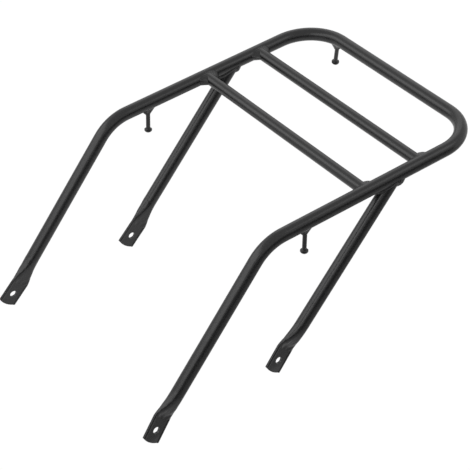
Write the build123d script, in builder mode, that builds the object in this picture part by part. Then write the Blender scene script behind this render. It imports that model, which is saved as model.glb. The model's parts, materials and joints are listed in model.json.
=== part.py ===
from build123d import *
from math import atan2, cos, degrees, pi, radians, sin, sqrt, tan
import os

# Motorcycle luggage rack, in millimetres. A bent tube hoop stands on two front legs, two struts
# brace it behind them, two crossbars and three luggage pegs are welded to it, and every tube end
# that is bolted down is crushed flat. The origin is the middle of the four bolt holes.
# +Z is up and -Y is the front of the motorcycle, so +X is the rider's left.

# Tubes
tube_od = 15.9  # hoop and struts
tube_wall = 1.5
bar_od = 13.8  # crossbars
bar_wall = 1.5

# Deck
rail_spacing = 300.0  # between the centre lines of the two side rails
rail_length = 303.0  # rear bar's centre line to the corner where the front legs turn down
bend_radius = 52.0  # centre line of all four bends of the hoop
strut_setback = 124.5  # struts' centre lines on the rails', ahead of the rear bar's centre line
front_bar_lead = 41.5  # front crossbar, ahead of the struts on the rails
middle_bar_lag = 36.5  # middle crossbar, behind the struts on the rails

# Legs
deck_height = 172.5  # rails' centre lines above the bolt holes
hole_spacing = 168.0  # front bolt hole to rear bolt hole on one side
leg_angle = 46.8  # front legs, below the horizontal

# Crushed feet
crush_length = 31.0  # round tube to flat foot
foot_flat = 33.0  # length of the flat
foot_width = 25.2  # across the flat, where the press has spread the wall a little
front_foot_inset = 2.3  # middle of the flat at its start, inward of the leg's centre line
front_foot_flare = 5.5  # flat turned outward, in degrees
rear_foot_inset = 3.5
rear_foot_flare = 3.0
foot_edge_radius = 2.1  # rolled edges, where the folded wall stays thicker than the flat
foot_end_radius = 30.0  # shallow arc that ends the flat
foot_corner_radius = 3.0  # at both ends of that arc
foot_trim = 0.2  # foot's outline beyond its edges, before the end is trimmed
hole_to_end = 15.0  # bolt hole's centre to the end of the foot
bolt_hole = 8.5
wall_gap = 0.3  # left between the walls where the crushed tube closes
crush_sections = 5  # evenly spaced, outside up to the flat and inside to where the walls close
crush_ease = 4.0  # to each side of the flat's start, where the crush eases into the flat
outer_crush = 1.7  # power of the outer face's ramp, which is steepest where it meets the flat
inner_crush = 1.3  # power of the inner face's ramp, nearly a plane
spread_crush = 3.0  # power of the growth in girth, most of it next to the flat
face_half_angle = 15.0  # half of the round tube's arc that becomes one flat face

# Luggage pegs
peg_diameter = 5.1
peg_length = 32.0  # below the tube that carries it
peg_head_diameter = 9.3
peg_head_flare = 1.8  # length of the hollow cone under the head
peg_head_rim = 1.4
peg_head_dome = 2.8
side_peg_setback = 53.2  # behind the corner where the front legs turn down
side_peg_lean = 6.0  # forward
rear_peg_inset = 46.0  # inward of the right rail's centre line
rear_peg_lean = 12.0  # towards the rider's right

# Weld beads
bar_weld_leg = 5.7  # along the rail and along the crossbar
bar_weld_side = 0.4  # beyond the crossbar, above and below it
strut_weld_leg = 3.5  # beyond the strut, along the rail
strut_weld_side = 1.2  # beyond the strut, at the rail's flanks
strut_weld_throat = 5.0  # out from the rail
strut_weld_top = 2.0  # upper end on the rail's flanks, below the rail's centre line
strut_weld_round = 1.0  # lower rim of the bead
saddle_gap = 0.05  # strut and its bead to the rail, two tubes of one size
peg_weld_reach = 6.5  # along the tube, on the heavy side
peg_weld_side = 2.0  # all round the peg
peg_weld_drop = 5.0  # down the peg
peg_weld_toe = 0.3  # left round the peg at the bead's lower end

# Places that follow from the sizes
tube_radius = tube_od / 2
bar_radius = bar_od / 2
rail_x = rail_spacing / 2
front_hole_y = -hole_spacing / 2
rear_hole_y = hole_spacing / 2
bend_y = front_hole_y + deck_height / tan(radians(leg_angle))
rear_bar_y = bend_y + rail_length
strut_y = rear_bar_y - strut_setback
strut_angle = degrees(atan2(deck_height, strut_y - rear_hole_y))
foot_length = crush_length + foot_flat
sides = {"left": 1, "right": -1}


def save(piece, name):
    """Label a finished piece and write it."""
    piece.part.label = name
    export_step(piece.part, f"parts/{name}.step")


def down_leg(angle):
    """Direction of a leg, forward and down."""
    return Vector(0, -cos(radians(angle)), -sin(radians(angle)))


def foot_plane(side, hole_y, angle):
    """Plane across a leg where its crushed foot starts: x points inward and z down the leg."""
    along = down_leg(angle)
    hole = Vector(side * rail_x, hole_y, 0)
    start = hole - along * (foot_length - hole_to_end)
    return Plane(origin=start, x_dir=(-side, 0, 0), z_dir=along)


def peg_plane(root, towards, lean, heavy):
    """Frame of a peg that hangs from a tube and leans along it; heavy is its weld's larger side."""
    down = Vector(0, 0, -cos(radians(lean))) + towards * sin(radians(lean))
    level = Vector(0, 0, sin(radians(lean))) + towards * cos(radians(lean))
    return Plane(origin=root, x_dir=level * heavy, z_dir=down)


def round_outline(radius):
    """Round tube, cut into the four arcs that turn into a foot's two faces and two edges."""
    face = 2 * face_half_angle
    edge = 180 - face
    start = 180 - face_half_angle
    with BuildLine() as outline:
        for size in (face, edge, face, edge):
            CenterArc((0, 0), radius, start, size)
            start += size
    return outline.edges()


def crushed_outline(width, thickness, shift, roll):
    """Crushed tube, moved inward by the shift: two flat faces, and round edges no thinner than the roll."""
    radius = max(thickness / 2, roll)
    half = width / 2 - radius - sqrt((radius - thickness / 2) * (radius + thickness / 2))
    outer = shift - thickness / 2
    inner = shift + thickness / 2
    with BuildLine() as outline:
        Line((outer, half), (outer, -half))
        ThreePointArc((outer, -half), (shift, -width / 2), (inner, -half))
        Line((inner, -half), (inner, half))
        ThreePointArc((inner, half), (shift, width / 2), (outer, half))
    return outline.edges()


def ramp(share, power):
    """Rise from 0 to 1 at a power of the share, which ends in a parabola through the flat's start."""
    ease = crush_ease / crush_length
    if share <= 1 - ease:
        return share**power
    slope = (1 - (1 - ease) ** power) / ease
    return 1 - slope * (1 + ease - share) ** 2 / (4 * ease)


def crush_section(share, inset, flare, thickness):
    """Width, thickness and inward shift of the tube at a share of its crush to a thickness."""
    outer = -tube_radius + (inset - thickness / 2 + tube_radius) * ramp(share, outer_crush)
    inner = tube_radius + (inset + thickness / 2 - tube_radius) * ramp(share, inner_crush)
    girth = tube_girth + (foot_girth - tube_girth) * ramp(share, spread_crush)
    width = (girth - (pi - 2) * (inner - outer)) / 2
    turned = max(0.0, share - 1) * crush_length * tan(radians(flare))
    return width, inner - outer, (inner + outer) / 2 - turned


def crushed_foot(inset, flare):
    """Foot along +Z: a round tube that is pressed flat, with its flat turned outward and drilled."""
    turned = (-sin(radians(flare)), 0, cos(radians(flare)))
    flat_start = crush_length + crush_ease
    ease = crush_ease / crush_length
    flat = crush_section(1 + ease, inset, flare, flat_thickness)
    with BuildPart() as foot:
        with BuildSketch(Plane.XY.offset(flat_start)):
            make_face(crushed_outline(*flat, foot_edge_radius))
        extrude(amount=(foot_length - flat_start) / cos(radians(flare)), dir=turned)
        with BuildSketch(Plane.YZ):
            with Locations((0, foot_length - foot_end_radius)):
                Circle(foot_end_radius)
            with Locations((0, foot_length)):
                Rectangle(foot_width + 2 * foot_trim, 2 * foot_length, mode=Mode.INTERSECT)
            fillet(vertices().group_by(Axis.Y)[-1], foot_corner_radius)
        extrude(amount=tube_od, both=True, mode=Mode.INTERSECT)
        with Locations((0, 0, foot_length - hole_to_end)):
            Cylinder(bolt_hole / 2, 2 * tube_od, rotation=(0, 90, 0), mode=Mode.SUBTRACT)
        with BuildSketch(Plane.XY):
            make_face(round_outline(tube_radius))
        for step in range(1, crush_sections + 1):
            share = (1 + ease) * step / crush_sections
            section = crush_section(share, inset, flare, flat_thickness)
            with BuildSketch(Plane.XY.offset(crush_length * share)):
                make_face(crushed_outline(*section, foot_edge_radius))
        loft()
        with BuildSketch(Plane.XY):
            make_face(round_outline(tube_radius - tube_wall))
        for step in range(1, crush_sections + 1):
            share = step / crush_sections
            width, outside, shift = crush_section(share, inset, flare, flat_thickness + wall_gap)
            with BuildSketch(Plane.XY.offset(crush_length * share)):
                make_face(crushed_outline(width - 2 * tube_wall, outside - 2 * tube_wall, shift, 0))
        loft(mode=Mode.SUBTRACT)
    return foot.part


os.makedirs("parts", exist_ok=True)

# Crushed feet of the hoop and of the struts
flat_thickness = 2 * tube_wall
tube_girth = pi * tube_od
foot_girth = 2 * (foot_width - flat_thickness) + pi * flat_thickness
front_foot = crushed_foot(front_foot_inset, front_foot_flare)
rear_foot = crushed_foot(rear_foot_inset, rear_foot_flare)

# Line of the hoop, from the left foot over the deck to the right foot
left_foot = foot_plane(1, front_hole_y, leg_angle)
right_foot = foot_plane(-1, front_hole_y, leg_angle)
with BuildLine() as hoop_line:
    FilletPolyline(
        left_foot.origin,
        (rail_x, bend_y, deck_height),
        (rail_x, rear_bar_y, deck_height),
        (-rail_x, rear_bar_y, deck_height),
        (-rail_x, bend_y, deck_height),
        right_foot.origin,
        radius=bend_radius,
    )
hoop_start = Plane(origin=left_foot.origin, x_dir=(1, 0, 0), z_dir=-left_foot.z_dir)

# Outside of the hoop as a full body, which the other pieces are cut to
with BuildPart() as hoop_outside:
    with BuildSketch(hoop_start):
        Circle(tube_radius)
    sweep(path=hoop_line.wires()[0])

# Main hoop: one bent tube, crushed and drilled at both ends
with BuildPart() as main_hoop:
    with BuildSketch(hoop_start):
        Circle(tube_radius)
        Circle(tube_radius - tube_wall, mode=Mode.SUBTRACT)
    sweep(path=hoop_line.wires()[0])
    with Locations(left_foot, right_foot):
        add(front_foot)
save(main_hoop, "main_hoop")

# Crossbars, cut at both ends to sit on the rails
crossbar_y = {"front": strut_y - front_bar_lead, "middle": strut_y + middle_bar_lag}
for place, bar_y in crossbar_y.items():
    with BuildPart() as crossbar:
        with BuildSketch(Plane(origin=(-rail_x, bar_y, deck_height), x_dir=(0, 1, 0), z_dir=(1, 0, 0))):
            Circle(bar_radius)
            Circle(bar_radius - bar_wall, mode=Mode.SUBTRACT)
        extrude(amount=rail_spacing)
        add(hoop_outside.part, mode=Mode.SUBTRACT)
    save(crossbar, f"{place}_crossbar")

# Crossbar welds: a bead that opens from the round of the bar to an oval on the rail
weld_start = tube_radius + bar_weld_leg
for place, bar_y in crossbar_y.items():
    for name, side in sides.items():
        toe = Plane(
            origin=(side * (rail_x - weld_start), bar_y, deck_height),
            x_dir=(0, 1, 0),
            z_dir=(side, 0, 0),
        )
        with BuildPart() as bar_weld:
            with BuildSketch(toe):
                Circle(bar_radius)
            with BuildSketch(toe.offset(weld_start)):
                Ellipse(bar_radius + weld_start, bar_radius + bar_weld_side)
            loft(ruled=True)
            with BuildSketch(toe):
                Circle(bar_radius)
            extrude(amount=weld_start, mode=Mode.SUBTRACT)
            add(hoop_outside.part, mode=Mode.SUBTRACT)
        save(bar_weld, f"{name}_{place}_bar_weld")

# Struts: straight tubes cut to the underside of a rail, with a crushed foot
strut_length = deck_height / sin(radians(strut_angle)) - foot_length + hole_to_end
for name, side in sides.items():
    strut_foot = foot_plane(side, rear_hole_y, strut_angle)
    strut_root = Vector(side * rail_x, strut_y, deck_height)
    strut_top = Plane(origin=strut_root, x_dir=(1, 0, 0), z_dir=strut_foot.z_dir)
    with BuildPart() as strut:
        with BuildSketch(strut_top):
            Circle(tube_radius)
            Circle(tube_radius - tube_wall, mode=Mode.SUBTRACT)
        extrude(amount=strut_length)
        with Locations(strut_foot):
            add(rear_foot)
        with Locations(strut_root):
            Cylinder(tube_radius + saddle_gap, rail_length, rotation=(90, 0, 0), mode=Mode.SUBTRACT)
    save(strut, f"{name}_strut")

    # Strut weld: an oval bead round the strut's top, as thick as its throat below the rail
    with BuildPart() as strut_weld:
        with BuildSketch(strut_top):
            Ellipse(tube_radius + strut_weld_side, tube_radius + strut_weld_leg)
        extrude(amount=strut_length, both=True)
        with Locations(strut_root):
            Cylinder(tube_radius + strut_weld_throat, rail_length, rotation=(90, 0, 0), mode=Mode.INTERSECT)
        split(bisect_by=Plane.XY.offset(deck_height - strut_weld_top), keep=Keep.BOTTOM)
        fillet(strut_weld.edges().sort_by(Axis.Z)[0], strut_weld_round)
        with BuildSketch(strut_top):
            Circle(tube_radius)
        extrude(amount=strut_length, both=True, mode=Mode.SUBTRACT)
        with Locations(strut_root):
            Cylinder(tube_radius + saddle_gap, rail_length, rotation=(90, 0, 0), mode=Mode.SUBTRACT)
    save(strut_weld, f"{name}_strut_weld")

# Peg along +Z from its tube's centre line: shank, hollow flare, rim and domed head
peg_radius = peg_diameter / 2
peg_head_radius = peg_head_diameter / 2
peg_end = tube_radius + peg_length
rim_end = peg_end - peg_head_dome
rim_start = rim_end - peg_head_rim
flare_start = rim_start - peg_head_flare
with BuildPart() as peg_blank:
    with BuildSketch(Plane.XZ):
        with BuildLine():
            Polyline((0, peg_end), (0, 0), (peg_radius, 0), (peg_radius, flare_start))
            TangentArc((peg_radius, flare_start), (peg_head_radius, rim_start), tangent=(0, 1))
            Line((peg_head_radius, rim_start), (peg_head_radius, rim_end))
            TangentArc((0, peg_end), (peg_head_radius, rim_end), tangent=(1, 0))
        make_face()
    revolve(axis=Axis.Z)

# Peg weld in the same frame, heavy towards +X: an oval on the tube that narrows down the peg
peg_weld_half = peg_radius + (peg_weld_reach + peg_weld_side) / 2
peg_weld_shift = (peg_weld_reach - peg_weld_side) / 2
with BuildPart() as peg_weld_blank:
    for height in (0, tube_radius):
        with BuildSketch(Plane.XY.offset(height)):
            with Locations((peg_weld_shift, 0)):
                Ellipse(peg_weld_half, peg_radius + peg_weld_side)
    with BuildSketch(Plane.XY.offset(tube_radius + peg_weld_drop)):
        Circle(peg_radius + peg_weld_toe)
    loft(ruled=True)
    with BuildSketch(Plane.XY):
        Circle(peg_radius)
    extrude(amount=peg_end, mode=Mode.SUBTRACT)

# Pegs under the two rails and under the right end of the rear bar, each with its weld
forward = Vector(0, -1, 0)
outward = Vector(-1, 0, 0)
side_peg_y = bend_y + side_peg_setback
bend_start = rail_x - bend_radius
rear_peg_x = rail_x - rear_peg_inset
into_bend = max(0.0, rear_peg_x - bend_start)
rear_peg_y = rear_bar_y - bend_radius + sqrt(bend_radius**2 - into_bend**2)
peg_frames = {
    "left": peg_plane(Vector(rail_x, side_peg_y, deck_height), forward, side_peg_lean, -1),
    "right": peg_plane(Vector(-rail_x, side_peg_y, deck_height), forward, side_peg_lean, -1),
    "rear": peg_plane(Vector(-rear_peg_x, rear_peg_y, deck_height), outward, rear_peg_lean, 1),
}
for place, frame in peg_frames.items():
    with BuildPart() as peg:
        with Locations(frame):
            add(peg_blank.part)
        add(hoop_outside.part, mode=Mode.SUBTRACT)
    save(peg, f"{place}_peg")

    with BuildPart() as peg_weld:
        with Locations(frame):
            add(peg_weld_blank.part)
        add(hoop_outside.part, mode=Mode.SUBTRACT)
    save(peg_weld, f"{place}_peg_weld")
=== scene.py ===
"""Motorcycle luggage rack: welded tube in satin black powder coat, on a white studio floor. Metres."""
import json
from collections import namedtuple
from math import cos, pi, radians, sin, sqrt, tan, tau
from random import Random

import bmesh
import bpy
from mathutils import Matrix, Vector


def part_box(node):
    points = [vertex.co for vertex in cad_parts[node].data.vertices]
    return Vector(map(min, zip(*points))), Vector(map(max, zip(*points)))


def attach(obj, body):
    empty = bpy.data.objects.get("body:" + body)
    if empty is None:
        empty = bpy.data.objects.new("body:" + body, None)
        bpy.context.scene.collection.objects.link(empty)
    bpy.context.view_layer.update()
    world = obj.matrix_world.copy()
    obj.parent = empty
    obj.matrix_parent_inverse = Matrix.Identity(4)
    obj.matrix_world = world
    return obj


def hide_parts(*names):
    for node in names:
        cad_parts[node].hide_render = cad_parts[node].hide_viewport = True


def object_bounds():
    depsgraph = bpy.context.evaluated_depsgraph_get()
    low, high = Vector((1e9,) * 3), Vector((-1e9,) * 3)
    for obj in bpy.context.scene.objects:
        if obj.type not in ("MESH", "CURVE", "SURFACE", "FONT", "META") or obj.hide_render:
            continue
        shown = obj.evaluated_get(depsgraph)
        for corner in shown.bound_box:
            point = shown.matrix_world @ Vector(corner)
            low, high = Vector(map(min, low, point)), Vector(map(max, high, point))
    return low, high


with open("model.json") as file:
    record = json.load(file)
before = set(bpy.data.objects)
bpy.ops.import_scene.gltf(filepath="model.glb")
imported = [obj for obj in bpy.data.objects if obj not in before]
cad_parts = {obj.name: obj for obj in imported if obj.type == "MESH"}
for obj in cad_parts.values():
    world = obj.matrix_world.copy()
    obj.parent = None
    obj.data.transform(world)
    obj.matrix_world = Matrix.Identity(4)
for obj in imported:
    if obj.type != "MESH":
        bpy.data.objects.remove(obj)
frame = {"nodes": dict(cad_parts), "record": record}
cad_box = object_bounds()
nodes = frame["nodes"]
scene = bpy.context.scene
scene.view_settings.view_transform = "Standard"

COAT_SLOT = "black_powder_coat"
MM_PER_M = 1000.0
FORWARD = Vector((0, -1, 0))
REARWARD = Vector((0, 1, 0))
RIGHTWARD = Vector((-1, 0, 0))
UPWARD = Vector((0, 0, 1))
SIDES = (("left", 1), ("right", -1))

# Tubes and their places, read from the frame
mounts = {mount["name"]: mount for mount in frame["record"]["mounts"]}
bar_low, bar_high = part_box("front_crossbar")
hoop_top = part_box("main_hoop")[1][2]
deck_z = (bar_low[2] + bar_high[2]) / 2
bar_radius = (bar_high[2] - bar_low[2]) / 2
tube_radius = hoop_top - deck_z
rail_x = mounts["left_luggage_peg"]["pos_m"][0]
rear_hole_y = mounts["left_bolt_holes"]["dims"]["spacing_x_mm"] / 2 / MM_PER_M

# Slope of the struts and size of the pegs
STRUT_SLOPE = radians(45.0)
PEG_RADIUS = 0.00255

# A branch tube that meets a main tube, with root where their centre lines cross
Joint = namedtuple("Joint", "root branch branch_radius main main_radius seam_gap", defaults=(0.0,))
STRUT_SEAM_GAP = 0.0004

# Weld beads: steps of their meshes, depth in the tubes, ripples, and lumps as waves per turn and their size
BEAD_STEPS = 180
PROFILE_STEPS = 10
BEAD_SINK = 0.00015
ROOT_SINK = 0.0008
RIPPLE_PITCH = 0.0019
RIPPLE_LAG = 0.55
LUMPS = ((2, 0.05), (3, 0.08), (5, 0.06), (9, 0.04))
BEAD_SEEDS = {
    "left_front_bar_weld": 6,
    "right_front_bar_weld": 4,
    "left_middle_bar_weld": 7,
    "right_middle_bar_weld": 5,
    "left_strut_weld": 21,
    "right_strut_weld": 19,
    "left_peg_weld": 34,
    "right_peg_weld": 35,
    "rear_peg_weld": 34,
}

# A bead's legs go up the branch and along the main tube. base gives both all round, climb and reach
# what each gains ahead and behind, and fade how fast that falls off to the sides. crown is the bulge
# as a share of the bead's width, and ripple the height of the ripples.
Bead = namedtuple("Bead", "base climb reach fade crown ripple")
BAR_BEADS = {
    "left": Bead((0.0010, 0.0009), (0.0056, 0.0016), (0.0072, 0.0018), 2.4, 0.04, 0.00028),
    "right": Bead((0.0018, 0.0014), (0.0078, 0.0056), (0.0046, 0.0060), 1.0, -0.04, 0.00028),
}
STRUT_BEADS = {
    "left": Bead((0.0026, 0.0018), (0.0040, 0.0042), (0.0068, 0.0034), 1.2, 0.12, 0.00050),
    "right": Bead((0.0026, 0.0018), (0.0040, 0.0042), (0.0034, 0.0034), 1.2, 0.12, 0.00050),
}
PEG_BEAD = Bead((0.0042, 0.0022), (0.0048, 0.0026), (0.0052, 0.0036), 1.6, -0.02, 0.00018)

# Powder coat: its tint, orange peel and gloss
COAT_DARK = (0.0030, 0.0030, 0.0033, 1.0)
COAT_LIGHT = (0.0120, 0.0120, 0.0124, 1.0)
TINT_SCALE = 750.0
TINT_DETAIL = 5.0
TINT_SPAN = (0.36, 0.64)
PEEL_SCALE = 900.0
PEEL_DETAIL = 3.0
PEEL_DEPTH = 0.00014
PEEL_STRENGTH = 0.7
GLOSS_SCALE = 38.0
GLOSS_DETAIL = 4.0
GLOSS_ROUGHNESS = (0.19, 0.28)

# Camera, as the photograph was taken
CAMERA_PLACE = Vector((1.4472, -0.8087, 1.4512))
CAMERA_AIM = Vector((0.1163, 0.0621, 0.1725))
CAMERA_ROLL = radians(-5.133)
CAMERA_LENS_MM = 146.45
CAMERA_SENSOR_MM = 36.0

# Studio: floor, world, and two cards along the left side, one on the floor and one upright
WHITE = (1.0, 1.0, 1.0, 1.0)
BLACK = (0.0, 0.0, 0.0, 1.0)
FLOOR_HALF = 6.0
FLOOR_DROP = 0.002
FLOOR_GLOW = 1.02
WORLD_LIGHT = 0.75
CARD_ENDS = (-0.9, 0.9)
CARD_WALL_X = 0.75
CARD_TOP = 0.37
GREY_CARD_X = 0.16
GREY_CARD_GLOW = 0.45
DARK_CARD_GLOW = 0.12

# Soft lights round the middle of the rack, with angles in degrees
STUDIO_CENTRE = Vector((0.0, 0.16, 0.12))
Softbox = namedtuple("Softbox", "azimuth elevation distance size radiance")
SOFTBOXES = {
    "front_softbox": Softbox(-14, 41, 1.6, (3.0, 1.0), 1.28),
    "right_softbox": Softbox(-70, 48, 1.5, (0.8, 0.6), 0.32),
    "rear_left_softbox": Softbox(140, 42, 1.2, (0.5, 0.45), 0.9),
    "rear_right_softbox": Softbox(-132, 32, 1.6, (1.2, 0.9), 0.45),
}


def powder_coat():
    """Satin black powder coat: a fine orange peel, a faint change of tint and a slow change of gloss."""
    material = bpy.data.materials.new(COAT_SLOT)
    material.use_nodes = True
    tree = material.node_tree
    shader = tree.nodes["Principled BSDF"]
    place = tree.nodes.new("ShaderNodeTexCoord").outputs["Object"]

    def noise(scale, detail):
        texture = tree.nodes.new("ShaderNodeTexNoise")
        texture.inputs["Scale"].default_value = scale
        texture.inputs["Detail"].default_value = detail
        tree.links.new(place, texture.inputs["Vector"])
        return texture.outputs["Fac"]

    peel = tree.nodes.new("ShaderNodeBump")
    peel.inputs["Strength"].default_value = PEEL_STRENGTH
    peel.inputs["Distance"].default_value = PEEL_DEPTH
    tree.links.new(noise(PEEL_SCALE, PEEL_DETAIL), peel.inputs["Height"])
    tree.links.new(peel.outputs["Normal"], shader.inputs["Normal"])

    gloss = tree.nodes.new("ShaderNodeMapRange")
    gloss.inputs["To Min"].default_value = GLOSS_ROUGHNESS[0]
    gloss.inputs["To Max"].default_value = GLOSS_ROUGHNESS[1]
    tree.links.new(noise(GLOSS_SCALE, GLOSS_DETAIL), gloss.inputs["Value"])
    tree.links.new(gloss.outputs["Result"], shader.inputs["Roughness"])

    tint = tree.nodes.new("ShaderNodeValToRGB")
    for stop, position, shade in zip(tint.color_ramp.elements, TINT_SPAN, (COAT_DARK, COAT_LIGHT)):
        stop.position = position
        stop.color = shade
    tree.links.new(noise(TINT_SCALE, TINT_DETAIL), tint.inputs["Fac"])
    tree.links.new(tint.outputs["Color"], shader.inputs["Base Color"])
    return material


def seam_point(joint, angle):
    """Point where the branch tube's side meets the main tube, and the branch's outward direction there."""
    across = (joint.main - joint.branch * joint.main.dot(joint.branch)).normalized()
    out = across * cos(angle) + joint.branch.cross(across) * sin(angle)
    start = out * joint.branch_radius
    level = start - joint.main * start.dot(joint.main)
    fall = joint.branch - joint.main * joint.branch.dot(joint.main)
    slant = level.dot(fall)
    room = (joint.main_radius + joint.seam_gap) ** 2 - level.length_squared
    along = (sqrt(slant**2 + fall.length_squared * room) - slant) / fall.length_squared
    return joint.root + start + joint.branch * along, out


def main_normal(joint, point):
    """Nearest point of the main tube's centre line, and the direction from it to a point."""
    centre = joint.root + joint.main * (point - joint.root).dot(joint.main)
    return centre, (point - centre).normalized()


def bead_legs(bead, angle):
    """Lengths of a bead up the branch and along the main tube, at an angle round the branch."""
    ahead = max(0.0, cos(angle)) ** bead.fade
    behind = max(0.0, -cos(angle)) ** bead.fade
    climb = bead.base[0] + bead.climb[0] * ahead + bead.climb[1] * behind
    reach = bead.base[1] + bead.reach[0] * ahead + bead.reach[1] * behind
    return climb, reach


def bead_profile(joint, bead, angle, legs, turn):
    """Section of a bead: from its toe on the branch over its crown to the main tube, and its root."""
    seam, out = seam_point(joint, angle)
    ahead = seam_point(joint, angle + tau / BEAD_STEPS)[0]
    behind = seam_point(joint, angle - tau / BEAD_STEPS)[0]
    tube_out = main_normal(joint, seam)[1]
    spread = (ahead - behind).cross(tube_out).normalized()
    upper = seam + joint.branch * legs[0] - out * BEAD_SINK
    centre, lower_out = main_normal(joint, seam + spread * legs[1])
    lower = centre + lower_out * (joint.main_radius - BEAD_SINK)
    swell = (out + tube_out).normalized()
    crown = (upper - lower).length * bead.crown
    points = []
    for step in range(PROFILE_STEPS + 1):
        share = step / PROFILE_STEPS
        bulge = 4 * share * (1 - share)
        lag = RIPPLE_LAG * (1 - bulge)
        height = crown + bead.ripple * abs(sin(pi * (turn + lag)))
        points.append(upper.lerp(lower, share) + swell * bulge * height)
    points.append(seam - swell * ROOT_SINK)
    return points


def weld_bead(name, joint, bead, coat):
    """Closed ring of rippled weld round a branch tube, which stands for the node of that name."""
    chance = Random(BEAD_SEEDS[name])
    waves = [(count, size, chance.uniform(0, tau)) for count, size in LUMPS]
    angles = [tau * step / BEAD_STEPS for step in range(BEAD_STEPS)]
    seams = [seam_point(joint, angle)[0] for angle in angles]
    runs = [(seams[step] - seams[step - 1]).length for step in range(BEAD_STEPS)]
    ripples = round(sum(runs) / RIPPLE_PITCH)
    mesh_data = bmesh.new()
    rings = []
    travelled = 0.0
    for angle, run in zip(angles, runs):
        travelled += run
        turn = ripples * travelled / sum(runs)
        swelling = 1 + sum(size * sin(count * angle + phase) for count, size, phase in waves)
        legs = [leg * swelling for leg in bead_legs(bead, angle)]
        points = bead_profile(joint, bead, angle, legs, turn)
        rings.append([mesh_data.verts.new(point) for point in points])
    for ring, following in zip(rings, rings[1:] + rings[:1]):
        for step in range(len(ring)):
            mesh_data.faces.new((ring[step - 1], ring[step], following[step], following[step - 1]))
    bmesh.ops.recalc_face_normals(mesh_data, faces=mesh_data.faces)
    for face in mesh_data.faces:
        face.smooth = True
    mesh = bpy.data.meshes.new(f"{name}_bead")
    mesh_data.to_mesh(mesh)
    mesh_data.free()
    piece = bpy.data.objects.new(f"{name}_bead", mesh)
    scene.collection.objects.link(piece)
    mesh.materials.append(coat)
    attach(piece, "root")
    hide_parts(name)


def add_welds(coat):
    """A bead at each crossbar end, strut top and peg."""
    for place in ("front", "middle"):
        low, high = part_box(f"{place}_crossbar")
        bar_y = (low[1] + high[1]) / 2
        for side, sign in SIDES:
            root = Vector((sign * rail_x, bar_y, deck_z))
            joint = Joint(root, Vector((-sign, 0, 0)), bar_radius, REARWARD, tube_radius)
            weld_bead(f"{side}_{place}_bar_weld", joint, BAR_BEADS[side], coat)
    strut_down = Vector((0, -cos(STRUT_SLOPE), -sin(STRUT_SLOPE)))
    strut_y = rear_hole_y + deck_z / tan(STRUT_SLOPE)
    for side, sign in SIDES:
        root = Vector((sign * rail_x, strut_y, deck_z))
        joint = Joint(root, strut_down, tube_radius, REARWARD, tube_radius, STRUT_SEAM_GAP)
        weld_bead(f"{side}_strut_weld", joint, STRUT_BEADS[side], coat)
    for side, along in (("left", REARWARD), ("right", REARWARD), ("rear", RIGHTWARD)):
        mount = mounts[f"{side}_luggage_peg"]
        down = Vector(mount["axis"]).normalized()
        place = Vector(mount["pos_m"])
        root = place + down * ((deck_z - place.z) / down.z)
        joint = Joint(root, down, PEG_RADIUS, along, tube_radius)
        weld_bead(f"{side}_peg_weld", joint, PEG_BEAD, coat)


def aim(place, target, roll=0.0):
    """Matrix of a camera or light at a place, with its -Z towards a target and its X turned by the roll."""
    look = (target - place).normalized()
    level = look.cross(UPWARD).normalized()
    turn = Matrix.Rotation(-roll, 3, look)
    right = turn @ level
    up = right.cross(look)
    axes = Matrix((right, up, -look)).transposed()
    return Matrix.Translation(place) @ axes.to_4x4()


def add_camera():
    """Camera of the photograph."""
    data = bpy.data.cameras.new("camera")
    data.lens = CAMERA_LENS_MM
    data.sensor_width = CAMERA_SENSOR_MM
    data.sensor_fit = "HORIZONTAL"
    camera = bpy.data.objects.new("camera", data)
    scene.collection.objects.link(camera)
    camera.matrix_world = aim(CAMERA_PLACE, CAMERA_AIM, CAMERA_ROLL)
    scene.camera = camera


def toward(azimuth, elevation):
    """Direction from the object: azimuth 0 is its front (-Y) and 90 its left (+X), in degrees."""
    flat = Matrix.Rotation(radians(azimuth), 3, "Z") @ FORWARD
    side = flat.cross(UPWARD)
    return Matrix.Rotation(radians(elevation), 3, side) @ flat


def add_softbox(name, box):
    """Rectangular soft light of an even brightness, aimed at the middle of the object."""
    data = bpy.data.lights.new(name, "AREA")
    data.shape = "RECTANGLE"
    data.size, data.size_y = box.size
    data.energy = box.radiance * pi * box.size[0] * box.size[1]
    light = bpy.data.objects.new(name, data)
    scene.collection.objects.link(light)
    place = STUDIO_CENTRE + toward(box.azimuth, box.elevation) * box.distance
    light.matrix_world = aim(place, STUDIO_CENTRE)
    light.visible_camera = False


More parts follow.
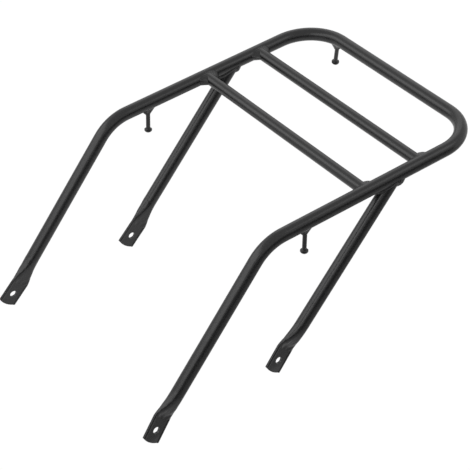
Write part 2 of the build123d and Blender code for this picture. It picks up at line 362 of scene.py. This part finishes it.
def add_plane(name, corners, glow):
    """Flat piece of the studio with four corners, which shines evenly and reflects nothing."""
    mesh = bpy.data.meshes.new(name)
    mesh.from_pydata(corners, [], [(0, 1, 2, 3)])
    plane = bpy.data.objects.new(name, mesh)
    scene.collection.objects.link(plane)
    material = bpy.data.materials.new(name)
    material.use_nodes = True
    shader = material.node_tree.nodes["Principled BSDF"]
    shader.inputs["Base Color"].default_value = BLACK
    shader.inputs["Specular IOR Level"].default_value = 0.0
    shader.inputs["Emission Color"].default_value = WHITE
    shader.inputs["Emission Strength"].default_value = glow
    mesh.materials.append(material)
    return plane


def add_floor():
    """White floor just under the feet, evenly bright like a light table, so that no shadows fall on it."""
    low = cad_box[0][2] - FLOOR_DROP
    square = ((-1, -1), (1, -1), (1, 1), (-1, 1))
    corners = [(x * FLOOR_HALF, y * FLOOR_HALF, low) for x, y in square]
    floor = add_plane("floor", corners, FLOOR_GLOW)
    floor.visible_glossy = False


def add_card(name, start, end, glow):
    """Card along the object's left side, seen only in reflections, from one edge in XZ to another."""
    front, rear = CARD_ENDS
    edges = ((start, front), (end, front), (end, rear), (start, rear))
    card = add_plane(name, [(x, y, z) for (x, z), y in edges], glow)
    card.visible_camera = False
    card.visible_diffuse = False
    card.visible_shadow = False


def add_cards():
    """Grey card on the floor and dark card upright at its outer edge."""
    floor_z = cad_box[0][2]
    fold = (CARD_WALL_X, floor_z)
    add_card("grey_card", (GREY_CARD_X, floor_z), fold, GREY_CARD_GLOW)
    add_card("dark_card", fold, (CARD_WALL_X, CARD_TOP), DARK_CARD_GLOW)


def add_world():
    """Even light from all round."""
    world = bpy.data.worlds.new("studio")
    world.use_nodes = True
    background = world.node_tree.nodes["Background"]
    background.inputs["Color"].default_value = WHITE
    background.inputs["Strength"].default_value = WORLD_LIGHT
    scene.world = world


powder = powder_coat()
for node in nodes.values():
    node.data.materials.clear()
    node.data.materials.append(powder)

add_welds(powder)
add_camera()
add_floor()
add_cards()
for box_name, softbox in SOFTBOXES.items():
    add_softbox(box_name, softbox)
add_world()
